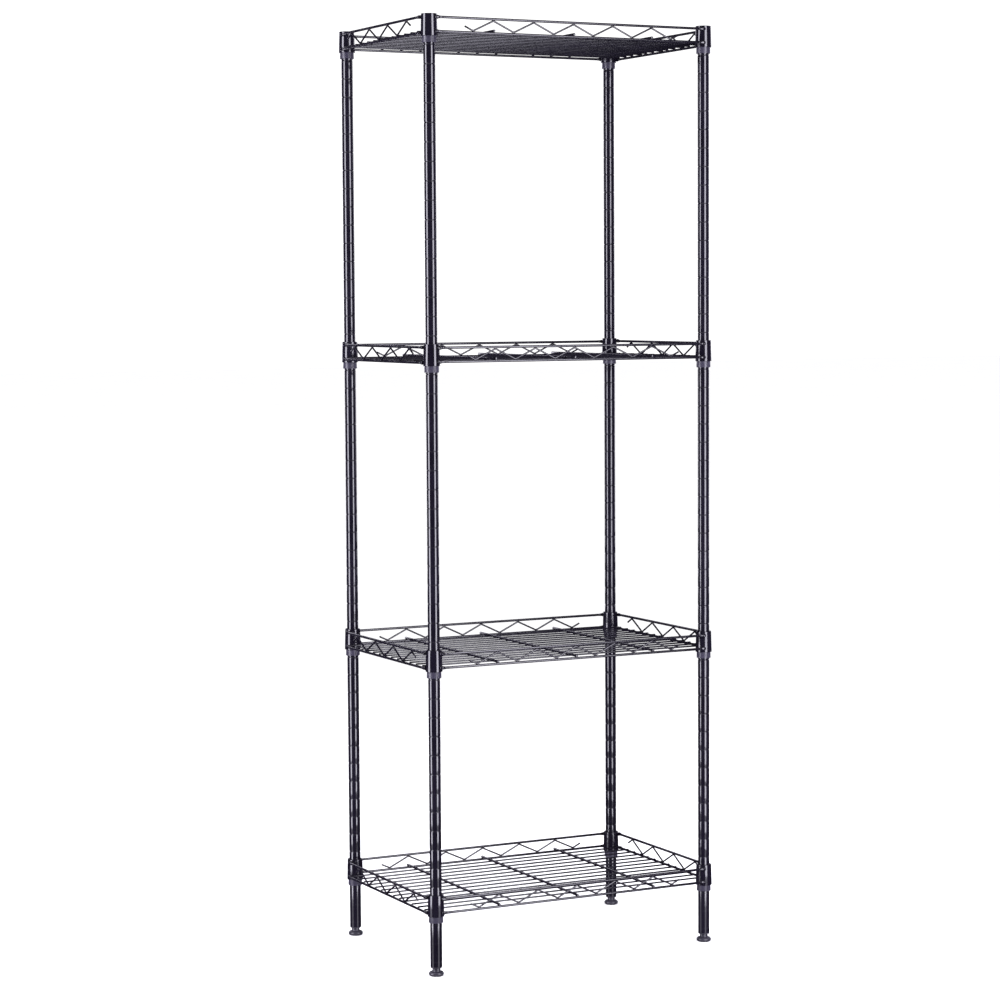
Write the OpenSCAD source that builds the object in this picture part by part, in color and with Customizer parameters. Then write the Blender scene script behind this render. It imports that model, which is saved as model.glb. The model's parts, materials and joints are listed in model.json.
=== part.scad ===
// Four-tier wire shelving rack: grooved tube posts, split taper sleeves and welded wire shelves.
// Millimetres. X runs along the long side, Y to the back and Z up. The origin is on the floor
// under the middle of the rack.

/* [Rack] */
// Post spacing along the long side, axis to axis
span_x = 418; // [330:1:560]
// Post spacing from front to back, axis to axis
span_y = 268; // [220:1:400]
// Height of the lowest groove above the floor
lowest_groove_z = 95.6; // [70:0.1:140]
// Number of grooves on each post
groove_count = 47; // [44:1:60]
// Distance from one groove to the next
groove_pitch = 25.4; // [22:0.1:30]

/* [Shelf positions] */
// Groove that holds the top shelf, counted down from the top
top_groove = 0; // [0:1:4]
// Groove that holds the upper shelf
upper_groove = 17; // [8:1:21]
// Groove that holds the lower shelf
lower_groove = 33; // [26:1:36]
// Groove that holds the bottom shelf
bottom_groove = 46; // [40:1:46]

/* [Posts] */
// Outer diameter of the post tube
post_d = 15.9; // [14:0.1:19]
// Wall of the post tube
post_wall = 1.2; // [0.9:0.1:1.6]
// Depth of a groove
groove_depth = 0.5; // [0.3:0.1:0.6]
// Width of a groove at the tube surface
groove_w = 2; // [1.6:0.1:2.6]
// Tube length above the top groove
post_head = 8.5; // [5:0.5:12]

/* [Sleeves and collars] */
// Length of a taper sleeve
sleeve_len = 36.5; // [30:0.5:42]
// How far a sleeve reaches below its groove
sleeve_drop = 23; // [19:0.5:26]
// Wall of a sleeve at its thick lower end
sleeve_wall = 1.8; // [1.5:0.05:2.2]
// Radius lost for each millimetre up the taper
taper = 0.026; // [0.015:0.001:0.03]
// Height of a shelf collar
collar_h = 29; // [24:0.5:32]
// Wall of a shelf collar
collar_wall = 1.5; // [1.2:0.1:2]
// Gap between a sleeve and the collar round it
seat_gap = 0.25; // [0.2:0.05:0.35]

/* [Shelf wires] */
// Diameter of the edge wires and cross wires
edge_d = 3.5; // [3:0.1:4]
// Diameter of the zigzag wires and deck wires
thin_d = 2.4; // [2:0.1:2.6]
// Distance between the edge wires and the post axes, outwards
edge_out = 11; // [10.8:0.1:11.6]
// Height of the rim wires above the groove
rim_z = 9.7; // [8:0.1:11]
// Depth of the base wires of the long sides below the groove
base_z = 8.9; // [8:0.1:10]
// Pitch of the zigzag wires
zigzag_pitch = 60; // [50:1:66]
// Bend radius on the axis of the zigzag wires
zigzag_bend = 3.5; // [3:0.1:4]
// Spacing of the deck wires
deck_pitch = 20; // [18:0.5:26]
// Spacing of the cross wires
cross_pitch = 120; // [100:5:130]

/* [Feet] */
// Gap between the floor and the lower end of a post
post_foot_z = 11; // [10:0.5:14]
// Diameter of the foot pad
pad_d = 20.4; // [18:0.2:24]
// Height of the foot pad's rim
pad_h = 6; // [5:0.5:7]
// Diameter of the neck over the foot pad
neck_d = 11; // [10:0.5:12]
// Major diameter of the foot stud
stud_d = 8; // [6:1:8]
// Thread pitch of the foot stud
thread_pitch = 1.25; // [1:0.25:1.25]

/* [Hidden] */
$fn = 64;

corners = [["front_left", -1, -1], ["front_right", 1, -1], ["rear_left", -1, 1], ["rear_right", 1, 1]];
tiers = [["top", top_groove], ["upper", upper_groove], ["lower", lower_groove], ["bottom", bottom_groove]];
corner_parts = ["post", "post_cap", "leg_insert", "foot_stud", "foot_pad"];
tier_parts = ["collars", "rim_wires", "base_wires", "zigzag_wires", "deck_wires", "cross_wires"];

paint = "#1b1a22";
plastic = "#45434f";
zinc = "#b5b8bb";

post_r = post_d / 2;
bore_r = post_r - post_wall;
top_groove_z = lowest_groove_z + (groove_count - 1) * groove_pitch;
post_top_z = top_groove_z + post_head;
function tier_z(groove) = top_groove_z - groove * groove_pitch;

// Leg insert: a flange under the tube end and a plug inside the tube
flange_h = 1.5;
tube_foot_z = post_foot_z + flange_h;
insert_len = 20;
plug_gap = 0.05;
thread_gap = 0.05;
cap_plug_len = 12;
cap_rim_h = 0.8;
cap_crown_h = 1.2;

// Taper seat, measured from the groove
sleeve_gap = 0.05;
sleeve_split = 4;
bead_play = 0.1;
sleeve_bore_r = post_r + sleeve_gap;
sleeve_foot_r = sleeve_bore_r + sleeve_wall;
function sleeve_r(z) = sleeve_foot_r - taper * (z + sleeve_drop);
function collar_bore_r(z) = sleeve_r(z) + seat_gap;
function collar_r(z) = collar_bore_r(z) + collar_wall;
edge_break = 0.4;

// Wire levels, measured from the groove. Welds let each wire sink a little into the one below.
edge_r = edge_d / 2;
thin_r = thin_d / 2;
touch = edge_r + thin_r;
weld = 0.2;
deep_weld = 0.65;
cross_z = -base_z + edge_d - weld;
deck_z = cross_z - touch + deep_weld;
short_base_z = deck_z - touch + deep_weld;
short_rim_rise = 0.5;
short_rim_z = rim_z + short_rim_rise;
long_x = span_x / 2;
long_y = span_y / 2 + edge_out;
short_x = span_x / 2 + edge_out;
// The edge wires run along the outside of the collars, sunk in their walls, and stop short of the
// post axes by this much
wire_stop = 3.6;
// Each zigzag sinks a little into its edge wires. That of a short side also stands a little outside
// them, clear of the deck wire ends.
zigzag_weld = 0.3;
short_zigzag_out = 1;
deck_lap = 0.3;
cross_poke = 1.2;

// Zigzag wires: the length of a side without outer bends, the straight end past the last bend, and
// how much slimmer a bend is than the legs, which lap over both of its ends
end_margin = 60;
free_run = 12;
bend_thinning = 0.08;
leg_lap = 0.3;
function bend_count(span) = floor((span - end_margin) / zigzag_pitch) + 1;
deck_side_count = floor((span_y / 2 - collar_r(0) - touch) / deck_pitch);
cross_side_count = floor((span_x / 2 - end_margin) / cross_pitch);

// Foot: a pad with a neck that ends short of the insert, and a stud whose thread starts below a
// tapered tip and runs out above the pad
pad_round = pad_h / 2;
pad_floor = 1.6;
neck_gap = 0.3;
stud_inset = 2;
stud_top_z = tube_foot_z + insert_len - stud_inset;
stud_tip = 1;
thread_depth = 0.6;
thread_land = 0.1;
thread_top_z = stud_top_z - stud_tip - 2 * thread_land;
thread_runout = 0.8;
thread_turns = floor((thread_top_z - post_foot_z - thread_runout) / thread_pitch);
// How far a cutter reaches past the face it cuts
cut_past = 1;

module at_corner(c) {
    translate([c[1] * span_x / 2, c[2] * span_y / 2, 0]) children();
}

module at_tier(t) {
    translate([0, 0, tier_z(t[1])]) children();
}

// ---- Posts ----

// Outline of the tube wall from the foot up, with a notch at each groove
function groove_notch(z) = let (r = post_r - groove_depth, w = groove_w / 2)
    [[post_r, z - w], [r, z - w / 2], [r, z + w / 2], [post_r, z + w]];

function post_outline() = concat(
    [[bore_r, tube_foot_z], [post_r, tube_foot_z]],
    [for (i = [0:groove_count - 1]) each groove_notch(lowest_groove_z + i * groove_pitch)],
    [[post_r, post_top_z], [bore_r, post_top_z]]);

module post(c) {
    color(paint) at_corner(c) rotate_extrude() polygon(post_outline());
}

// Plastic plug with a low crowned head on top of the tube
module post_cap(c) {
    crown_r = (pow(post_r, 2) + pow(cap_crown_h, 2)) / (2 * cap_crown_h);
    crown_top = cap_rim_h + cap_crown_h;
    color(plastic) at_corner(c) translate([0, 0, post_top_z]) {
        translate([0, 0, -cap_plug_len]) cylinder(r = bore_r - plug_gap, h = cap_plug_len);
        intersection() {
            cylinder(r = post_r, h = crown_top);
            translate([0, 0, crown_top - crown_r]) sphere(r = crown_r);
        }
    }
}

// Threaded plug pressed into the lower end of the tube
module leg_insert(c) {
    color(plastic) at_corner(c) translate([0, 0, post_foot_z]) difference() {
        union() {
            cylinder(r1 = post_r - edge_break, r2 = post_r, h = edge_break);
            translate([0, 0, edge_break]) cylinder(r = post_r, h = flange_h - edge_break);
            translate([0, 0, flange_h]) cylinder(r = bore_r - plug_gap, h = insert_len);
        }
        translate([0, 0, -cut_past])
            cylinder(r = stud_d / 2 + thread_gap, h = flange_h + insert_len + 2 * cut_past);
    }
}

// ---- Levelling feet ----

function thread_notch(z) = let (r = stud_d / 2, w = thread_pitch / 2)
    [[r, z], [r - thread_depth, z - w], [r, z - 2 * w + thread_land]];

module foot_stud(c) {
    outline = concat(
        [[0, stud_top_z], [stud_d / 2 - thread_depth, stud_top_z], [stud_d / 2, stud_top_z - stud_tip]],
        [for (i = [0:thread_turns - 1]) each thread_notch(thread_top_z - i * thread_pitch)],
        [[stud_d / 2, pad_floor], [0, pad_floor]]);
    color(zinc) at_corner(c) rotate_extrude() polygon(outline);
}

// Round pad with a full-round rim and a neck, moulded round the foot of the stud
module foot_pad(c) {
    rim_r = pad_d / 2 - pad_round;
    color(plastic) at_corner(c) difference() {
        union() {
            cylinder(r = rim_r, h = pad_h);
            translate([0, 0, pad_round]) rotate_extrude() translate([rim_r, 0]) circle(r = pad_round);
            cylinder(d = neck_d, h = post_foot_z - neck_gap);
        }
        translate([0, 0, pad_floor - thread_gap])
            cylinder(r = stud_d / 2 + thread_gap, h = post_foot_z);
    }
}

// ---- Taper sleeves ----

// Cross-section of a sleeve, with the bead that snaps into the groove
function sleeve_outline() = let (
    foot = -sleeve_drop, head = sleeve_len - sleeve_drop,
    bead_r = post_r - groove_depth + bead_play, w = groove_w / 2 - bead_play)
    [[sleeve_bore_r, foot], [sleeve_r(foot) - edge_break, foot], [sleeve_r(foot), foot + edge_break],
     [sleeve_r(head), head], [sleeve_bore_r, head],
     [sleeve_bore_r, w], [bead_r, w / 2], [bead_r, -w / 2], [sleeve_bore_r, -w]];

module sleeve_half(side) {
    rotate([0, 0, (side > 0 ? -90 : 90) + sleeve_split / 2])
        rotate_extrude(angle = 180 - sleeve_split) polygon(sleeve_outline());
}

// The two halves that hold one corner of a shelf
module sleeve(t, c) {
    color(plastic) at_tier(t) at_corner(c) for (side = [-1, 1]) sleeve_half(side);
}

// ---- Shelf ----

module collar() {
    low = -collar_h / 2;
    high = collar_h / 2;
    rotate_extrude() polygon([
        [collar_bore_r(low), low], [collar_r(low) - edge_break, low], [collar_r(low), low + edge_break],
        [collar_r(high), high - edge_break], [collar_r(high) - edge_break, high],
        [collar_bore_r(high), high]]);
}

module collars(t) {
    color(paint) at_tier(t) for (c = corners) at_corner(c) collar();
}

// Round wire from point a along the X or Y axis
module wire_x(a, len, r) {
    translate(a) rotate([0, 90, 0]) cylinder(r = r, h = len);
}

module wire_y(a, len, r) {
    translate(a) rotate([-90, 0, 0]) cylinder(r = r, h = len);
}

// Four straight edge wires: two long ones at height z and two short ones at height short_z
module edge_loop(z, short_z) {
    len_x = span_x - 2 * wire_stop;
    len_y = span_y - 2 * wire_stop;
    for (s = [-1, 1]) {
        wire_x([-len_x / 2, s * long_y, z], len_x, edge_r);
        wire_y([s * short_x, -len_y / 2, short_z], len_y, edge_r);
    }
}

module rim_wires(t) {
    color(paint) at_tier(t) edge_loop(rim_z, short_rim_z);
}

module base_wires(t) {
    color(paint) at_tier(t) edge_loop(-base_z, short_base_z);
}

// One bent wire in the XZ plane. Its n outer bends lie at height z_out, one pitch apart, and the
// bends between them at z_in. A straight free end runs on past each end.
module zigzag(n, z_out, z_in) {
    up = sign(z_out - z_in);
    drop = abs(z_out - z_in) - 2 * zigzag_bend;
    gap = norm([zigzag_pitch / 2, drop]);
    slope = atan2(drop, zigzag_pitch / 2) + asin(2 * zigzag_bend / gap);
    leg = sqrt(pow(gap, 2) - pow(2 * zigzag_bend, 2));
    first = -(n - 1) * zigzag_pitch / 2;
    translate([0, 0, z_out]) mirror([0, 0, up > 0 ? 0 : 1]) {
        for (i = [0:n - 1]) translate([first + i * zigzag_pitch, 0, -zigzag_bend]) {
            bend(slope);
            if (i < n - 1) {
                bend_leg(slope, leg);
                translate([zigzag_pitch / 2, 0, -drop]) mirror([0, 0, 1]) bend(slope);
            }
            if (i > 0) mirror([1, 0, 0]) bend_leg(slope, leg);
        }
        for (s = [0, 1]) mirror([s, 0, 0])
            translate([-first, 0, -zigzag_bend]) bend_leg(slope, free_run);
    }
}

// Crest of the zigzag, round the Y axis and centred on the bend's own centre
module bend(slope) {
    rotate([90, 0, 0]) rotate([0, 0, 90 - slope])
        rotate_extrude(angle = 2 * slope) translate([zigzag_bend, 0]) circle(r = thin_r - bend_thinning);
}

// Straight leg that runs down from the right end of a crest
module bend_leg(slope, len) {
    rotate([0, slope, 0]) wire_x([-leg_lap, 0, zigzag_bend], len + 2 * leg_lap, thin_r);
}

module zigzag_wires(t) {
    reach = touch - zigzag_weld;
    short_reach = sqrt(pow(reach, 2) - pow(short_zigzag_out, 2));
    color(paint) at_tier(t) for (s = [-1, 1]) {
        translate([0, s * long_y, 0])
            zigzag(bend_count(span_x), -base_z + reach, rim_z - reach);
        translate([s * (short_x + short_zigzag_out), 0, 0]) rotate([0, 0, 90])
            zigzag(bend_count(span_y), short_rim_z - short_reach, short_base_z + short_reach);
    }
}

module deck_wires(t) {
    half = short_x - deck_lap;
    color(paint) at_tier(t) for (i = [-deck_side_count:deck_side_count])
        wire_x([-half, i * deck_pitch, deck_z], 2 * half, thin_r);
}

module cross_wires(t) {
    half = long_y + edge_r + cross_poke;
    color(paint) at_tier(t) for (i = [-cross_side_count:cross_side_count])
        wire_y([i * cross_pitch, -half, cross_z], 2 * half, edge_r);
}

for (c = corners) {
    post(c);
    post_cap(c);
    leg_insert(c);
    foot_stud(c);
    foot_pad(c);
}
for (t = tiers) {
    for (c = corners)
        sleeve(t, c);
    collars(t);
    rim_wires(t);
    base_wires(t);
    zigzag_wires(t);
    deck_wires(t);
    cross_wires(t);
}
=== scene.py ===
"""Looks of the wire shelving rack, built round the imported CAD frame. Metres, +Z up."""
import json
import math

import bmesh
import bpy
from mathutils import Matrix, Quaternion, Vector, noise


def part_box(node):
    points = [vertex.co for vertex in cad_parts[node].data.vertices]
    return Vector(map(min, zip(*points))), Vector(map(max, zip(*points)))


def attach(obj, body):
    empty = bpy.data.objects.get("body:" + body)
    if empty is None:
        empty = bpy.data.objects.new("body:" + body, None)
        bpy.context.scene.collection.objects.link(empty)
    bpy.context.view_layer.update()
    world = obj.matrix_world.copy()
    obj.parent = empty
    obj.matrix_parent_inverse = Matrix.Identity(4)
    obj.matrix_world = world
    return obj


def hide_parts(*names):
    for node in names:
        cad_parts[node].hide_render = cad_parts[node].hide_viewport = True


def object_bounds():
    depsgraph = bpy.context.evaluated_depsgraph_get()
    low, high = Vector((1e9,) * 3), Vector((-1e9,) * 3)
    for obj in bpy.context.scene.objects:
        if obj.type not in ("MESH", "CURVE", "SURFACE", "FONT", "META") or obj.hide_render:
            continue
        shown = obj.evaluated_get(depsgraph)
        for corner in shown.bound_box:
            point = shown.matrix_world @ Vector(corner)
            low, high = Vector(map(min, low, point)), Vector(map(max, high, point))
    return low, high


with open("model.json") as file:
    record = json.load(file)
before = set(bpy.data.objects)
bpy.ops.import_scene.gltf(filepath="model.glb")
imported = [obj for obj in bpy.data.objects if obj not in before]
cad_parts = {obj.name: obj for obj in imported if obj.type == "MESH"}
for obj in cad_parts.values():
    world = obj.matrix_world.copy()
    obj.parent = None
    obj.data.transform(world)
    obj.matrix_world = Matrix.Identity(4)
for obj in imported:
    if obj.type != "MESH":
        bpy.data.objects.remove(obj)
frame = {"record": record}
cad_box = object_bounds()

# ---- The frame: what rides on what, and the sizes that the CAD boxes give ----

record = frame["record"]
BODY_OF = {node: body for body, nodes in record["behaviour"]["bodies"].items() for node in nodes}
CORNERS = ["front_left", "front_right", "rear_left", "rear_right"]
TIERS = ["top", "upper", "lower", "bottom"]
MM = 0.001


def middle(node):
    low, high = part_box(node)
    return (low + high) / 2


def size(node):
    low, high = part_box(node)
    return high - low


AXIS = {corner: Vector((*middle(f"post_{corner}").xy, 0)) for corner in CORNERS}
SPAN_X = AXIS["front_right"].x - AXIS["front_left"].x
SPAN_Y = AXIS["rear_left"].y - AXIS["front_left"].y
GROOVE_Z = {tier: middle(f"{tier}_shelf_collars").z for tier in TIERS}
POST_R = size("post_front_left").x / 2
EDGE_R = size("top_shelf_cross_wires").z / 2
THIN_R = size("top_shelf_deck_wires").z / 2

# Sizes that no CAD box gives
GROOVE_PITCH = 25.4 * MM
GROOVE_DEPTH = 0.5 * MM
GROOVE_HALF = 1.0 * MM
POST_WALL = 1.2 * MM
FIT_GAP = 0.05 * MM
PLUG_R = POST_R - POST_WALL - FIT_GAP
SEAT_GAP = 0.25 * MM
COLLAR_WALL = 1.5 * MM
TAPER = 0.026

# ---- Mesh helpers ----


def put(mesh_builder, name, node, material, replaces=True, sharp=40):
    """Makes a piece from a bmesh, and lets it ride where that CAD node rides."""
    mesh = bpy.data.meshes.new(name)
    bmesh.ops.recalc_face_normals(mesh_builder, faces=mesh_builder.faces)
    mesh_builder.to_mesh(mesh)
    mesh_builder.free()
    mesh.polygons.foreach_set("use_smooth", [True] * len(mesh.polygons))
    mesh.set_sharp_from_angle(angle=math.radians(sharp))
    mesh.materials.append(material)
    piece = bpy.data.objects.new(name, mesh)
    bpy.context.scene.collection.objects.link(piece)
    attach(piece, BODY_OF[node])
    if replaces:
        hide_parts(node)
    return piece


def arc(centre, radius, start, end, steps=6):
    """Points of an arc in a lathe profile, from one angle to another, in degrees."""
    angles = [math.radians(start + (end - start) * i / steps) for i in range(steps + 1)]
    return [(centre[0] + radius * math.cos(a), centre[1] + radius * math.sin(a)) for a in angles]


def lathe(build, profile, at, steps=64, start=0, turn=360):
    """Revolves a closed profile of (radius, height) points round the vertical line through at."""
    whole = turn == 360
    count = steps if whole else steps + 1
    rings = []
    for r, z in profile:
        if r < 1e-9:
            rings.append([build.verts.new((at[0], at[1], z))] * count)
            continue
        ring = []
        for i in range(count):
            angle = math.radians(start + turn * i / steps)
            ring.append(build.verts.new((at[0] + r * math.cos(angle), at[1] + r * math.sin(angle), z)))
        rings.append(ring)
    for lower, upper in zip(rings, rings[1:] + rings[:1]):
        for i in range(steps):
            j = (i + 1) % count
            corners = [lower[i], lower[j], upper[j], upper[i]]
            unique = [v for k, v in enumerate(corners) if v not in corners[:k]]
            if len(unique) > 2:
                build.faces.new(unique)
    if not whole:
        for i in (0, count - 1):
            build.faces.new([ring[i] for ring in rings])


def skin(build, rings):
    """Joins rings of points into a closed surface with flat ends."""
    count = len(rings[0])
    for lower, upper in zip(rings, rings[1:]):
        for i in range(count):
            j = (i + 1) % count
            build.faces.new([lower[i], lower[j], upper[j], upper[i]])
    build.faces.new(rings[0])
    build.faces.new(rings[-1])


END_SOFTNESS = 0.35  # of a wire's radius


def tube(build, points, side, radius, segments=20):
    """Sweeps a round wire with softened ends along points that lie in the plane square to side."""
    side = Vector(side).normalized()
    points = [Vector(p) for p in points]
    directions = [(points[min(i + 1, len(points) - 1)] - points[max(i - 1, 0)]).normalized()
                  for i in range(len(points))]
    soft = radius * END_SOFTNESS
    # Each ring of a softened end: how far in from the end it lies, and how much thinner it is
    edge = [(0, soft), (soft * 0.3, soft * 0.3), (soft, 0)]
    stations = [(points[0] + directions[0] * inset, directions[0], radius - loss) for inset, loss in edge]
    stations += [(p, d, radius) for p, d in zip(points[1:-1], directions[1:-1])]
    stations += [(points[-1] - directions[-1] * inset, directions[-1], radius - loss)
                 for inset, loss in reversed(edge)]
    rings = []
    for point, along, r in stations:
        up = along.cross(side)
        ring = []
        for i in range(segments):
            angle = 2 * math.pi * i / segments
            ring.append(build.verts.new(point + (side * math.cos(angle) + up * math.sin(angle)) * r))
        rings.append(ring)
    skin(build, rings)


BEAD_LUMPS = 0.18
BEAD_LUMP_SCALE = 1.7
BEAD_VARIETY = 900  # spreads the beads over the noise, so that they differ


def bead(build, at, along, across, reach):
    """A lumpy weld bead: reach gives its half sizes along, across and square to both."""
    along, across = Vector(along).normalized(), Vector(across).normalized()
    third = along.cross(across)
    at = Vector(at)
    made = bmesh.ops.create_icosphere(build, subdivisions=2, radius=1)
    for vert in made["verts"]:
        swell = 1 + BEAD_LUMPS * noise.noise(vert.co * BEAD_LUMP_SCALE + at * BEAD_VARIETY)
        x, y, z = vert.co * swell
        vert.co = at + along * x * reach[0] + across * y * reach[1] + third * z * reach[2]


# ---- Materials ----


class Shader:
    """A node material that starts as one Principled surface."""

    def __init__(self, name, **constants):
        self.material = bpy.data.materials.new(name)
        self.material.use_nodes = True
        self.tree = self.material.node_tree
        self.surface = self.tree.nodes["Principled BSDF"]
        for socket, value in constants.items():
            self.surface.inputs[socket.replace("_", " ")].default_value = value
        self.place = self.add("ShaderNodeTexCoord").outputs["Object"]

    def add(self, kind, links=None, **settings):
        node = self.tree.nodes.new(kind)
        for key, value in settings.items():
            setattr(node, key, value)
        for socket, value in (links or {}).items():
            if isinstance(value, bpy.types.NodeSocket):
                self.tree.links.new(value, node.inputs[socket])
            else:
                node.inputs[socket].default_value = value
        return node

    def link(self, output, socket):
        self.tree.links.new(output, self.surface.inputs[socket])

    def noise(self, scale, detail=3, stretch=(1, 1, 1), rough=0.5):
        """Noise from 0 to 1, with scale in features a metre."""
        mapped = self.add("ShaderNodeMapping", {"Vector": self.place, "Scale": stretch})
        node = self.add("ShaderNodeTexNoise",
                        {"Vector": mapped.outputs[0], "Scale": scale, "Detail": detail, "Roughness": rough})
        return node.outputs["Fac"]

    def ramp(self, value, low, high, to_low=0.0, to_high=1.0):
        """Maps low..high to to_low..to_high, clamped."""
        node = self.add("ShaderNodeMapRange", {"Value": value, "From Min": low, "From Max": high,
                                               "To Min": to_low, "To Max": to_high})
        return node.outputs["Result"]

    def math(self, operation, a, b=0.0):
        return self.add("ShaderNodeMath", {0: a, 1: b}, operation=operation).outputs[0]

    def mix(self, factor, first, second):
        node = self.add("ShaderNodeMix", {"Factor": factor, 6: first, 7: second}, data_type="RGBA")
        return node.outputs[2]

    def bump(self, height, strength, distance, before=None):
        links = {"Height": height, "Strength": strength, "Distance": distance}
        if before:
            links["Normal"] = before
        return self.add("ShaderNodeBump", links).outputs["Normal"]

    def height(self):
        """Height above the floor at rest, in metres."""
        return self.add("ShaderNodeSeparateXYZ", {"Vector": self.place}).outputs["Z"]

    def upward(self):
        """1 on faces that look up, 0 on level sides."""
        normal = self.add("ShaderNodeNewGeometry").outputs["Normal"]
        return self.ramp(self.add("ShaderNodeSeparateXYZ", {"Vector": normal}).outputs["Z"], 0.2, 1.0)


def rgba(r, g, b):
    return (r, g, b, 1)


def groove_rub(s):
    """1 in worn patches of a post's grooves, 0 between the grooves."""
    turns = s.math("DIVIDE", s.math("SUBTRACT", s.height(), GROOVE_Z["top"]), GROOVE_PITCH)
    off_groove = s.math("ABSOLUTE", s.math("SUBTRACT", s.math("FRACT", s.math("ADD", turns, 0.5)), 0.5))
    return s.math("MULTIPLY", s.ramp(off_groove, 0.030, 0.055, 1, 0),
                  s.ramp(s.noise(900, detail=4), 0.45, 0.62))


def gloss_paint(name, shine, peel, grooves=False):
    """Black powder coat with a violet cast: orange peel, fine dust on top, rubbed grooves."""
    s = Shader(name, Coat_Weight=0.1, Coat_Roughness=0.1, IOR=1.5)
    deep, pale = rgba(0.0026, 0.0021, 0.0044), rgba(0.0048, 0.0040, 0.0078)
    dust_grey, worn_grey = rgba(0.07, 0.066, 0.08), rgba(0.03, 0.027, 0.036)
    colour = s.mix(s.ramp(s.noise(14, detail=4), 0.35, 0.65), deep, pale)
    dust = s.math("MULTIPLY", s.upward(), s.ramp(s.noise(420, detail=5, rough=0.7), 0.45, 0.75))
    colour = s.mix(s.math("MULTIPLY", dust, 0.15), colour, dust_grey)
    rough = s.ramp(s.noise(55, detail=5), 0.3, 0.7, shine - 0.04, shine + 0.07)
    rough = s.math("ADD", rough, s.math("MULTIPLY", dust, 0.25))
    if grooves:
        rub = groove_rub(s)
        colour = s.mix(s.math("MULTIPLY", rub, 0.15), colour, worn_grey)
        rough = s.math("ADD", rough, s.math("MULTIPLY", rub, 0.15))
    s.link(colour, "Base Color")
    s.link(rough, "Roughness")
    waves = s.bump(s.noise(160, detail=2), peel, 0.05 * MM)
    s.link(s.bump(s.noise(700, detail=2), peel, 0.03 * MM, waves), "Normal")
    return s.material


def moulded_plastic(name, dark, light, shine, grain=0.5, scuff_z=None):
    """Matte injection moulding: fine grain, slight flow marks, and scuffs low down by the floor."""
    s = Shader(name, IOR=1.46)
    flow = s.noise(70, detail=3, stretch=(1, 1, 0.35))
    colour = s.mix(s.ramp(flow, 0.3, 0.7), dark, light)
    rough = s.ramp(s.noise(260, detail=4), 0.3, 0.7, shine - 0.06, shine + 0.08)
    if scuff_z:
        low = s.ramp(s.height(), 0.0, scuff_z, 1, 0)
        scuff = s.math("MULTIPLY", low, s.ramp(s.noise(700, detail=6, rough=0.7), 0.42, 0.66))
        colour = s.mix(s.math("MULTIPLY", scuff, 0.6), colour, rgba(0.09, 0.085, 0.09))
        rough = s.math("ADD", rough, s.math("MULTIPLY", scuff, 0.2))
    s.link(colour, "Base Color")
    s.link(rough, "Roughness")
    s.link(s.bump(s.noise(2600, detail=3), grain, 0.03 * MM), "Normal")
    return s.material


def zinc_plate(name):
    """Bright zinc on the foot studs: cloudy passivation, fine lines along the turn, dark dirt."""
    s = Shader(name, Metallic=1.0)
    cloud = s.noise(380, detail=5)
    colour = s.mix(s.ramp(cloud, 0.3, 0.7), rgba(0.46, 0.47, 0.48), rgba(0.68, 0.67, 0.63))
    grime = s.ramp(s.noise(1500, detail=4, stretch=(1, 1, 3)), 0.58, 0.72)
    colour = s.mix(s.math("MULTIPLY", grime, 0.6), colour, rgba(0.12, 0.11, 0.10))
    s.link(colour, "Base Color")
    s.link(s.ramp(s.noise(800, detail=4), 0.3, 0.7, 0.22, 0.42), "Roughness")
    s.link(s.bump(s.noise(3000, detail=2, stretch=(0.2, 0.2, 3)), 0.3, 0.02 * MM), "Normal")
    return s.material


POST_PAINT = gloss_paint("post_paint", shine=0.10, peel=0.05, grooves=True)
COLLAR_PAINT = gloss_paint("collar_paint", shine=0.10, peel=0.10)
WIRE_PAINT = gloss_paint("wire_paint", shine=0.22, peel=0.6)
WELD_PAINT = gloss_paint("weld_paint", shine=0.17, peel=1.0)
SLEEVE_PLASTIC = moulded_plastic("sleeve_plastic", rgba(0.017, 0.015, 0.026), rgba(0.026, 0.023, 0.038),
                                 0.34)
CAP_PLASTIC = moulded_plastic("cap_plastic", rgba(0.007, 0.006, 0.010), rgba(0.012, 0.011, 0.016), 0.30,
                              grain=0.3)
PAD_PLASTIC = moulded_plastic("pad_plastic", rgba(0.012, 0.011, 0.017), rgba(0.020, 0.018, 0.027), 0.34,
                              grain=0.4, scuff_z=3.5 * MM)
ZINC = zinc_plate("zinc_plate")

# ---- Posts, caps, inserts and feet ----


def groove_points(z):
    """A rolled groove round height z: a cosine dip in the tube's wall, from below upwards."""
    steps = 10
    points = []
    for i in range(steps + 1):
        t = -1 + 2 * i / steps
        depth = GROOVE_DEPTH * (0.5 + 0.5 * math.cos(math.pi * t))
        points.append((POST_R - depth, z + t * GROOVE_HALF))
    return points


def make_post(corner):
    """Tube with softened ends and a rolled groove at each pitch."""
    low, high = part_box(f"post_{corner}")
    lip = 0.35 * MM
    bore = POST_R - POST_WALL
    profile = [(bore, low.z)] + arc((POST_R - lip, low.z + lip), lip, -90, 0)
    grooves = round((GROOVE_Z["top"] - GROOVE_Z["bottom"]) / GROOVE_PITCH)
    for i in range(grooves + 1):
        profile += groove_points(GROOVE_Z["bottom"] + i * GROOVE_PITCH)
    profile += arc((POST_R - lip, high.z - lip), lip, 0, 90) + [(bore, high.z)]
    build = bmesh.new()
    lathe(build, profile, AXIS[corner])
    put(build, f"grooved_tube_{corner}", f"post_{corner}", POST_PAINT)


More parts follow.
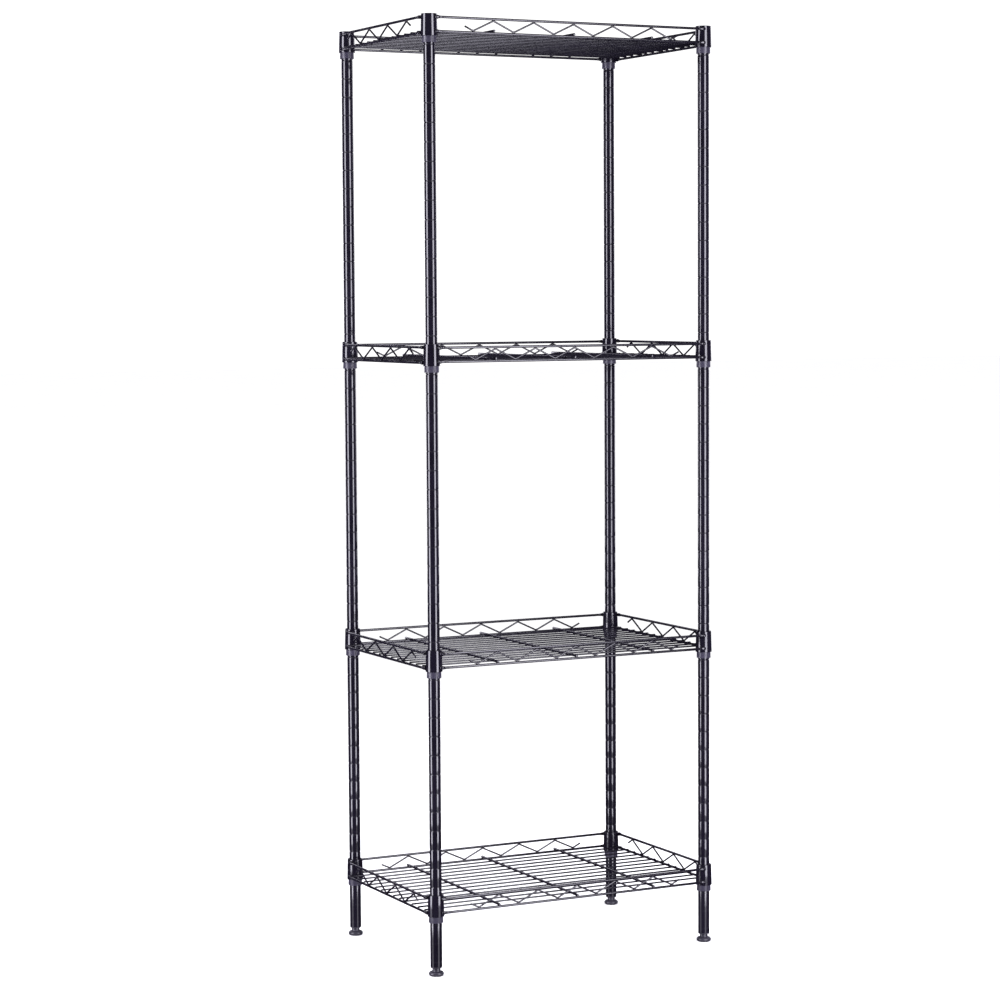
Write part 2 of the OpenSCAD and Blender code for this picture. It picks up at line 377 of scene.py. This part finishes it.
def make_cap(corner):
    """Crowned head on the tube, with a plug below it."""
    low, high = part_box(f"post_cap_{corner}")
    tube_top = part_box(f"post_{corner}")[1].z
    edge = 0.45 * MM
    lead_in, lead_height = 0.5 * MM, 0.8 * MM
    profile = [(0, low.z), (PLUG_R - lead_in, low.z), (PLUG_R, low.z + lead_height), (PLUG_R, tube_top)]
    profile += arc((POST_R - edge, tube_top + edge), edge, -90, 55)
    steps = 10
    rim_r, rim_z = profile[-1]
    for i in range(1, steps + 1):
        t = i / steps
        profile.append((rim_r * (1 - t), rim_z + (high.z - rim_z) * (1 - (1 - t) ** 2)))
    build = bmesh.new()
    lathe(build, profile, AXIS[corner])
    put(build, f"domed_cap_{corner}", f"post_cap_{corner}", CAP_PLASTIC)


def make_insert(corner):
    """Flanged plug in the tube's foot, with fine ribs that grip the tube."""
    low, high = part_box(f"leg_insert_{corner}")
    tube_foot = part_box(f"post_{corner}")[0].z
    bore_r = size(f"foot_stud_{corner}").x / 2 + FIT_GAP
    edge, seam, bore_edge = 0.5 * MM, 0.15 * MM, 0.4 * MM
    profile = [(bore_r + bore_edge, low.z)] + arc((POST_R - edge, low.z + edge), edge, -90, 0)
    profile += [(POST_R, tube_foot - seam), (POST_R - seam, tube_foot), (PLUG_R, tube_foot)]
    valleys, first_valley, valley_pitch = 5, 2 * MM, 3.2 * MM
    valley_r = PLUG_R - 0.35 * MM
    for i in range(valleys):
        z = tube_foot + first_valley + i * valley_pitch
        profile += [(PLUG_R, z), (valley_r, z + 0.3 * MM), (valley_r, z + 1.2 * MM), (PLUG_R, z + 1.5 * MM)]
    lead_in, lead_height = 0.6 * MM, 0.8 * MM
    profile += [(PLUG_R, high.z - lead_height), (PLUG_R - lead_in, high.z), (bore_r, high.z),
                (bore_r, low.z + bore_edge)]
    build = bmesh.new()
    lathe(build, profile, AXIS[corner])
    put(build, f"flanged_insert_{corner}", f"leg_insert_{corner}", PAD_PLASTIC)


THREAD_PITCH = 1.25 * MM
THREAD_DEPTH = 0.6 * MM
THREAD_CREST = 0.12  # share of half a pitch that the flat crest takes
THREAD_FLANK = 0.70  # share that the flank takes, which leaves the rest to the flat root


def thread_r(major, phase):
    """Radius of the thread at a phase from 0 to 1 of its pitch, with flat crest and root."""
    off_crest = abs(phase - 0.5) * 2
    return major - THREAD_DEPTH * min(1, max(0, (off_crest - THREAD_CREST) / THREAD_FLANK))


def make_stud(corner):
    """Round stud with a true right-hand helical thread down to the pad's neck."""
    low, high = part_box(f"foot_stud_{corner}")
    major = (high.x - low.x) / 2
    thread_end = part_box(f"post_{corner}")[0].z - 0.5 * MM
    shank_end = thread_end - 0.4 * MM
    point_length, point_cut = 1 * MM, 0.7 * MM
    steps, rows_a_turn = 48, 14
    centre = AXIS[corner]
    build = bmesh.new()
    rows = round((high.z - thread_end) / THREAD_PITCH * rows_a_turn)
    heights = [low.z, shank_end] + [thread_end + (high.z - thread_end) * i / rows for i in range(rows + 1)]
    rings = []
    for z in heights:
        ring = []
        run_out = min(1, max(0, (z - thread_end) / THREAD_PITCH))
        off_point = min(1, (high.z - z) / point_length)
        for i in range(steps):
            angle = 2 * math.pi * i / steps
            phase = ((z - low.z) / THREAD_PITCH - i / steps) % 1
            r = major - (major - thread_r(major, phase)) * run_out
            r = min(r, major - point_cut * (1 - off_point))
            ring.append(build.verts.new((centre.x + r * math.cos(angle), centre.y + r * math.sin(angle), z)))
        rings.append(ring)
    skin(build, rings)
    put(build, f"threaded_stud_{corner}", f"foot_stud_{corner}", ZINC)


def make_pad(corner):
    """Round pad: full-round rim, concave flare up to the neck, and a sole that is hollow in the middle."""
    low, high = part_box(f"foot_pad_{corner}")
    rim_r = (high.x - low.x) / 2
    stud_r = size(f"foot_stud_{corner}").x / 2
    bore_r, bore_z = stud_r + FIT_GAP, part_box(f"foot_stud_{corner}")[0].z - FIT_GAP
    neck_r, neck_edge, rim_h, roll = 5.5 * MM, 0.4 * MM, 6 * MM, 3 * MM
    hollow, ring_width, ring_slope = 0.35 * MM, 2.6 * MM, 0.6 * MM
    sole = rim_r - roll
    profile = [(0, hollow), (sole - ring_width - ring_slope, hollow), (sole - ring_width, 0)]
    profile += arc((sole, roll), roll, -90, 90, 20)[:-1]
    fillet = sole - neck_r
    profile += arc((neck_r + fillet, rim_h + fillet), fillet, 270, 180, 6)
    profile += arc((neck_r - neck_edge, high.z - neck_edge), neck_edge, 0, 90, 4)
    profile += [(bore_r, high.z), (bore_r, bore_z), (0, bore_z)]
    build = bmesh.new()
    lathe(build, profile, AXIS[corner], steps=72)
    put(build, f"levelling_pad_{corner}", f"foot_pad_{corner}", PAD_PLASTIC)


# ---- Sleeves and collars ----

SLEEVE_FOOT_R = size("top_shelf_sleeve_front_left").x / 2
SEAM_GAP = 4  # degrees


def sleeve_r(z, foot):
    """Outer radius of a taper sleeve at height z, where foot is the height of its lower end."""
    return SLEEVE_FOOT_R - TAPER * (z - foot)


def make_sleeve(tier, corner):
    """Both half sleeves of one post, with their snap beads and softened rims."""
    node = f"{tier}_shelf_sleeve_{corner}"
    low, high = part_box(node)
    groove = GROOVE_Z[tier]
    bore = POST_R + FIT_GAP
    edge, head_edge, bore_edge, snap_half = 0.45 * MM, 0.3 * MM, 0.3 * MM, 0.9 * MM
    foot_r, head_r = sleeve_r(low.z, low.z), sleeve_r(high.z, low.z)
    snap_r = POST_R - GROOVE_DEPTH + 0.1 * MM
    profile = [(bore + bore_edge, low.z)]
    profile += arc((foot_r - edge, low.z + edge), edge, -90, 0, 5)
    profile += arc((head_r - head_edge, high.z - head_edge), head_edge, 0, 90, 4)
    profile += [(bore, high.z), (bore, groove + snap_half)]
    profile += [(snap_r + (bore - snap_r) * (0.5 - 0.5 * math.cos(math.pi * t)), groove + snap_half * t)
                for t in (0.6, 0.3, 0, -0.3, -0.6)]
    profile += [(bore, groove - snap_half), (bore, low.z + bore_edge)]
    build = bmesh.new()
    for seam in (-90, 90):
        lathe(build, profile, AXIS[corner], steps=40, start=seam + SEAM_GAP / 2, turn=180 - SEAM_GAP)
    put(build, f"{tier}_split_sleeve_{corner}", node, SLEEVE_PLASTIC)


def make_collars(tier):
    """Four taper collars with rolled lips."""
    node = f"{tier}_shelf_collars"
    low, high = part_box(node)
    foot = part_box(f"{tier}_shelf_sleeve_front_left")[0].z
    low_bore, high_bore = sleeve_r(low.z, foot) + SEAT_GAP, sleeve_r(high.z, foot) + SEAT_GAP
    lip, foot_edge, head_edge = 0.5 * MM, 0.25 * MM, 0.35 * MM
    profile = [(low_bore + foot_edge, low.z)]
    profile += arc((low_bore + COLLAR_WALL - lip, low.z + lip), lip, -90, 0)
    profile += arc((high_bore + COLLAR_WALL - lip, high.z - lip), lip, 0, 90)
    profile += [(high_bore + head_edge, high.z), (high_bore, high.z - head_edge)]
    profile.append((low_bore, low.z + 0.3 * MM))
    build = bmesh.new()
    for corner in CORNERS:
        lathe(build, profile, AXIS[corner], steps=72)
    put(build, f"{tier}_taper_collars", node, COLLAR_PAINT)


# ---- Shelf wires ----

X, Y, Z = Vector((1, 0, 0)), Vector((0, 1, 0)), Vector((0, 0, 1))
WIRE_STOP = 3.6 * MM  # how far short of the post axes the edge wires end
WELD_LAP = 0.3 * MM  # how deep a zigzag is pressed into the edge wires
DECK_PITCH = 20 * MM
ZIGZAG_PITCH = 60 * MM
ZIGZAG_BEND = 3.5 * MM
FREE_RUN = 12 * MM  # straight wire past the last bend of a zigzag
END_MARGIN = 60 * MM  # length of each side that its zigzag's bends leave free


def straight(build, a, b, radius):
    """A straight wire, with a few stations so that it takes its texture evenly."""
    a, b = Vector(a), Vector(b)
    side = Z if abs((b - a).normalized().z) < 0.5 else X
    stations = 12
    tube(build, [a.lerp(b, i / stations) for i in range(stations + 1)], side, radius)


class Levels:
    """Where one shelf's wires lie, read from the CAD boxes."""

    def __init__(self, tier):
        rim_low, rim_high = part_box(f"{tier}_shelf_rim_wires")
        base_low, base_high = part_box(f"{tier}_shelf_base_wires")
        self.long_y = rim_high.y - EDGE_R
        self.short_x = rim_high.x - EDGE_R
        self.long_rim, self.short_rim = rim_low.z + EDGE_R, rim_high.z - EDGE_R
        self.long_base, self.short_base = base_high.z - EDGE_R, base_low.z + EDGE_R
        self.deck = middle(f"{tier}_shelf_deck_wires").z
        self.cross = middle(f"{tier}_shelf_cross_wires").z
        self.deck_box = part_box(f"{tier}_shelf_deck_wires")
        self.cross_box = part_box(f"{tier}_shelf_cross_wires")
        self.zigzag_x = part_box(f"{tier}_shelf_zigzag_wires")[1].x - THIN_R


def make_edges(tier, name, level, long_z, short_z):
    """The four rim wires or base wires, at one height on the long sides and one on the short sides."""
    end_x, end_y = SPAN_X / 2 - WIRE_STOP, SPAN_Y / 2 - WIRE_STOP
    build = bmesh.new()
    for s in (-1, 1):
        straight(build, (-end_x, s * level.long_y, long_z), (end_x, s * level.long_y, long_z), EDGE_R)
        straight(build, (s * level.short_x, -end_y, short_z), (s * level.short_x, end_y, short_z), EDGE_R)
    put(build, f"{tier}_{name}", f"{tier}_shelf_{name}_wires", WIRE_PAINT)


def zigzag_points(bends, z_out, z_in):
    """Centre line (along, height) of a zigzag: bends at z_out, the ones between them at z_in."""
    up = 1 if z_out > z_in else -1
    drop = abs(z_out - z_in) - 2 * ZIGZAG_BEND
    gap = math.hypot(ZIGZAG_PITCH / 2, drop)
    slope = math.degrees(math.atan2(drop, ZIGZAG_PITCH / 2) + math.asin(2 * ZIGZAG_BEND / gap))
    first = -(bends - 1) * ZIGZAG_PITCH / 2
    points = []
    for i in range(2 * bends - 1):
        crest = i % 2 == 0
        x = first + i * ZIGZAG_PITCH / 2
        if crest:
            points += arc((x, -ZIGZAG_BEND), ZIGZAG_BEND, 90 + slope, 90 - slope, 10)
        else:
            points += arc((x, -ZIGZAG_BEND - drop), ZIGZAG_BEND, 270 - slope, 270 + slope, 10)
    run = (math.cos(math.radians(slope)) * FREE_RUN, -math.sin(math.radians(slope)) * FREE_RUN)
    points = ([(points[0][0] - run[0], points[0][1] + run[1])] + points
              + [(points[-1][0] + run[0], points[-1][1] + run[1])])
    return [(x, z_out + up * z) for x, z in points]


def bend_count(span):
    """How many outer bends a zigzag has on a side between posts that are span apart."""
    return int((span - END_MARGIN) / ZIGZAG_PITCH) + 1


def zigzag_sides(level):
    """The centre line in space of each of the four zigzags, with the direction square to its plane."""
    reach = EDGE_R + THIN_R - WELD_LAP
    out = level.zigzag_x - level.short_x
    short_reach = math.sqrt(reach ** 2 - out ** 2)
    long_side = zigzag_points(bend_count(SPAN_X), level.long_base + reach, level.long_rim - reach)
    short_side = zigzag_points(bend_count(SPAN_Y), level.short_rim - short_reach,
                               level.short_base + short_reach)
    for s in (-1, 1):
        yield [Vector((x, s * level.long_y, z)) for x, z in long_side], Y
        yield [Vector((s * level.zigzag_x, y, z)) for y, z in short_side], X


def make_zigzags(tier, level):
    """The bent wire between rim and base on each side."""
    build = bmesh.new()
    for points, side in zigzag_sides(level):
        tube(build, points, side, THIN_R, segments=16)
    put(build, f"{tier}_zigzags", f"{tier}_shelf_zigzag_wires", WIRE_PAINT)


def deck_rows(level):
    """Where the deck wires lie along Y."""
    half = level.deck_box[1].y - THIN_R
    count = round(2 * half / DECK_PITCH)
    return [-half + i * DECK_PITCH for i in range(count + 1)]


def cross_columns(level):
    """Where the cross wires lie along X."""
    half = level.cross_box[1].x - EDGE_R
    return [-half, 0, half]


def make_deck(tier, level):
    """The thin wires along the shelf."""
    low, high = level.deck_box
    build = bmesh.new()
    for y in deck_rows(level):
        straight(build, (low.x, y, level.deck), (high.x, y, level.deck), THIN_R)
    put(build, f"{tier}_deck", f"{tier}_shelf_deck_wires", WIRE_PAINT)


def make_cross(tier, level):
    """The thick wires that lie over the deck wires, front to back."""
    low, high = level.cross_box
    build = bmesh.new()
    for x in cross_columns(level):
        straight(build, (x, low.y, level.cross), (x, high.y, level.cross), EDGE_R)
    put(build, f"{tier}_cross", f"{tier}_shelf_cross_wires", WIRE_PAINT)


# ---- Welds ----

WELD_LENGTH = 10 * MM
WELD_SHIFT = 0.4 * MM  # how far the weld's thick end is moved towards the post
WELD_LUMPS = 0.9
WELD_LUMP_SCALE = 380
# Swell of the weld over the wire's radius in mm, at shares of its length from the wire's end
WELD_SWELL = [(0.0, 0.30), (0.05, 0.55), (0.15, 0.75), (0.30, 0.85),
              (0.45, 0.60), (0.65, 0.25), (0.85, 0.08), (1.0, 0.03)]
# Half sizes of the flash where wires cross: along, across and in height
DECK_BEAD = (1.5 * MM, 1.5 * MM, 0.7 * MM)
CROSS_BEAD = (1.9 * MM, 1.9 * MM, 0.8 * MM)
ZIGZAG_BEAD = (2.4 * MM, 0.9 * MM, 0.6 * MM)
BEAD_ABOVE, BEAD_BELOW = 0.8, 0.7  # where a bead sits on or under a deck wire, in its radii
BEAD_INSET = 0.6 * MM  # how far inside the short base wires the beads under the deck wires lie
SAME_HEIGHT = 1e-6  # heights closer than this, in metres, count as equal


def weld_swell(share):
    """Swell at a share of the weld's length, in metres."""
    for (before, low), (after, high) in zip(WELD_SWELL, WELD_SWELL[1:]):
        if share <= after:
            return (low + (high - low) * (share - before) / (after - before)) * MM
    return WELD_SWELL[-1][1] * MM


def flare(build, end, inward, outward, axis, bore):
    """Lumpy weld metal round the end of an edge wire, kept out of the collar's bore and in the CAD box."""
    rows, segments = 16, 20
    rings = []
    for i in range(rows + 1):
        share = i / rows
        centre = end + inward * WELD_LENGTH * share - outward * WELD_SHIFT * (1 - share)
        ring = []
        for k in range(segments):
            angle = 2 * math.pi * k / segments
            spoke = outward * math.cos(angle) + Z * math.sin(angle)
            lump = 1 + WELD_LUMPS * noise.noise((centre + spoke * EDGE_R) * WELD_LUMP_SCALE)
            point = centre + spoke * (EDGE_R + weld_swell(share) * lump)
            radial = Vector((point.x - axis.x, point.y - axis.y, 0))
            if radial.length < bore:
                radial = radial.normalized() * bore
                point = Vector((axis.x + radial.x, axis.y + radial.y, point.z))
            point.x = max(cad_box[0][0], min(cad_box[1][0], point.x))
            ring.append(build.verts.new(point))
        rings.append(ring)
    skin(build, rings)


def make_corner_welds(tier, level):
    """A flare of weld metal where each edge wire runs onto a collar."""
    bore = SLEEVE_FOOT_R + SEAT_GAP + COLLAR_WALL / 2
    build = bmesh.new()
    for corner in CORNERS:
        axis = AXIS[corner]
        side_x, side_y = X * math.copysign(1, axis.x), Y * math.copysign(1, axis.y)
        for long_z, short_z in ((level.long_rim, level.short_rim), (level.long_base, level.short_base)):
            end = Vector((axis.x, 0, long_z)) - side_x * WIRE_STOP + side_y * level.long_y
            flare(build, end, -side_x, side_y, axis, bore)
            end = Vector((0, axis.y, short_z)) - side_y * WIRE_STOP + side_x * level.short_x
            flare(build, end, -side_y, side_x, axis, bore)
    put(build, f"{tier}_corner_welds", f"{tier}_shelf_collars", WELD_PAINT, replaces=False, sharp=180)


def make_spot_welds(tier, level):
    """Flash squeezed out where two wires were pressed together and spot welded."""
    build = bmesh.new()
    for y in deck_rows(level):
        for x in cross_columns(level):
            bead(build, (x, y, level.deck + THIN_R * BEAD_ABOVE), X, Y, DECK_BEAD)
        for s in (-1, 1):
            x = s * (level.short_x - BEAD_INSET)
            bead(build, (x, y, level.deck - THIN_R * BEAD_BELOW), X, Y, DECK_BEAD)
    for x in cross_columns(level):
        for s in (-1, 1):
            bead(build, (x, s * level.long_y, level.cross - EDGE_R), X, Y, CROSS_BEAD)
    for points, side in zigzag_sides(level):
        highest = max(p.z for p in points)
        lowest = min(p.z for p in points)
        along = X if side == Y else Y
        for before, point, after in zip(points, points[1:], points[2:]):
            crest = point.z > highest - SAME_HEIGHT and before.z <= point.z >= after.z
            valley = point.z < lowest + SAME_HEIGHT and before.z >= point.z <= after.z
            if crest or valley:
                bead(build, point + Z * (THIN_R if crest else -THIN_R), along, side, ZIGZAG_BEAD)
    put(build, f"{tier}_spot_welds", f"{tier}_shelf_cross_wires", WELD_PAINT, replaces=False, sharp=180)


# ---- The whole rack ----

for corner in CORNERS:
    make_post(corner)
    make_cap(corner)
    make_insert(corner)
    make_stud(corner)
    make_pad(corner)

for tier in TIERS:
    level = Levels(tier)
    for corner in CORNERS:
        make_sleeve(tier, corner)
    make_collars(tier)
    make_edges(tier, "rim", level, level.long_rim, level.short_rim)
    make_edges(tier, "base", level, level.long_base, level.short_base)
    make_zigzags(tier, level)
    make_deck(tier, level)
    make_cross(tier, level)
    make_corner_welds(tier, level)
    make_spot_welds(tier, level)

# ---- Studio ----

CAMERA_AT = Vector((-1.755, -3.391, 0.907))
CAMERA_AZIMUTH, CAMERA_ELEVATION, CAMERA_ROLL = -26.81, 4.24, -0.35  # degrees
CAMERA_LENS, CAMERA_SENSOR = 98.15, 36  # mm

FLOOR_REACH = 30
BACKDROP_STRENGTH = 1.25
ROOM_STRENGTH = 0.05
WHITE = (1, 1, 1)
LAVENDER = (0.90, 0.88, 1.0)

# Bearing in degrees, then distance, height, width and tallness in metres, then radiance. The strips
# make the highlights down the posts, and the low strips carry them on, dimmer, to the feet.
LIGHTS = {
    "left_strip": (-63, 1.3, 0.76, 0.5, 1.78, 13),
    "right_strip": (42, 1.3, 0.76, 0.6, 1.78, 12),
    "left_low_strip": (-63, 1.3, -0.665, 0.5, 1.07, 2.2),
    "right_low_strip": (42, 1.3, -0.665, 0.6, 1.07, 2.2),
    "overhead": (0, 0.4, 2.9, 1.8, 1.8, 0.9),
    "back_left": (-150, 2.4, 1.2, 0.5, 1.8, 4),
    "back_right": (140, 2.4, 1.2, 0.5, 1.8, 4),
}
OVERHEAD_AIM = 0.64


def make_camera():
    """Camera at the photograph's angle. It looks back along the direction from the rack to it."""
    a, e, roll = (math.radians(v) for v in (CAMERA_AZIMUTH, CAMERA_ELEVATION, CAMERA_ROLL))
    back = Vector((math.sin(a) * math.cos(e), -math.cos(a) * math.cos(e), math.sin(e)))
    camera = bpy.data.objects.new("camera", bpy.data.cameras.new("camera"))
    camera.data.lens = CAMERA_LENS
    camera.data.sensor_width = CAMERA_SENSOR
    camera.location = CAMERA_AT
    turn = (-back).to_track_quat("-Z", "Y")
    camera.rotation_mode = "QUATERNION"
    camera.rotation_quaternion = Quaternion(back, roll) @ turn
    bpy.context.scene.collection.objects.link(camera)
    bpy.context.scene.camera = camera


def make_floor():
    """A pale floor. The gloss doesn't mirror it, and the low strips below it shine through."""
    build = bmesh.new()
    for x, y in ((-1, -1), (1, -1), (1, 1), (-1, 1)):
        build.verts.new((x * FLOOR_REACH, y * FLOOR_REACH, 0))
    build.faces.new(build.verts)
    mesh = bpy.data.meshes.new("floor")
    build.to_mesh(mesh)
    build.free()
    floor = bpy.data.objects.new("floor", mesh)
    s = Shader("pale_floor", Roughness=0.9)
    s.link(s.mix(s.noise(3), rgba(0.86, 0.86, 0.87), rgba(0.90, 0.90, 0.91)), "Base Color")
    mesh.materials.append(s.material)
    floor.visible_glossy = False
    floor.visible_shadow = False
    bpy.context.scene.collection.objects.link(floor)


def make_light(name, bearing, distance, height, width, tall, radiance, colour, aim_z):
    """A softbox at a bearing from the camera's side: 0 is towards the camera, + to its right."""
    a = math.radians(CAMERA_AZIMUTH + bearing)
    data = bpy.data.lights.new(name, "AREA")
    data.shape = "RECTANGLE"
    data.size, data.size_y = width, tall
    data.energy = radiance * math.pi * width * tall
    data.color = colour
    light = bpy.data.objects.new(name, data)
    light.location = (math.sin(a) * distance, -math.cos(a) * distance, height)
    aim = Vector((0, 0, aim_z)) - light.location
    light.rotation_mode = "QUATERNION"
    light.rotation_quaternion = aim.to_track_quat("-Z", "Y")
    light.visible_camera = False
    bpy.context.scene.collection.objects.link(light)


def make_world():
    """White all round the rack, and a dim violet room for what the gloss reflects."""
    world = bpy.data.worlds.new("studio")
    world.use_nodes = True
    nodes, links = world.node_tree.nodes, world.node_tree.links
    backdrop = nodes["Background"]
    backdrop.inputs["Color"].default_value = (1, 1, 1, 1)
    backdrop.inputs["Strength"].default_value = BACKDROP_STRENGTH
    room = nodes.new("ShaderNodeBackground")
    room.inputs["Color"].default_value = (0.85, 0.75, 1.3, 1)
    room.inputs["Strength"].default_value = ROOM_STRENGTH
    which = nodes.new("ShaderNodeMixShader")
    links.new(nodes.new("ShaderNodeLightPath").outputs["Is Glossy Ray"], which.inputs["Fac"])
    links.new(backdrop.outputs[0], which.inputs[1])
    links.new(room.outputs[0], which.inputs[2])
    links.new(which.outputs[0], nodes["World Output"].inputs["Surface"])
    bpy.context.scene.world = world


def make_lights():
    """All the lights. The overhead one is white and aims lower than it stands."""
    for name, (bearing, distance, height, width, tall, radiance) in LIGHTS.items():
        overhead = name == "overhead"
        aim_z = OVERHEAD_AIM if overhead else height
        colour = WHITE if overhead else LAVENDER
        make_light(name, bearing, distance, height, width, tall, radiance, colour, aim_z)


make_camera()
make_floor()
make_world()
make_lights()
bpy.context.scene.view_settings.view_transform = "Standard"
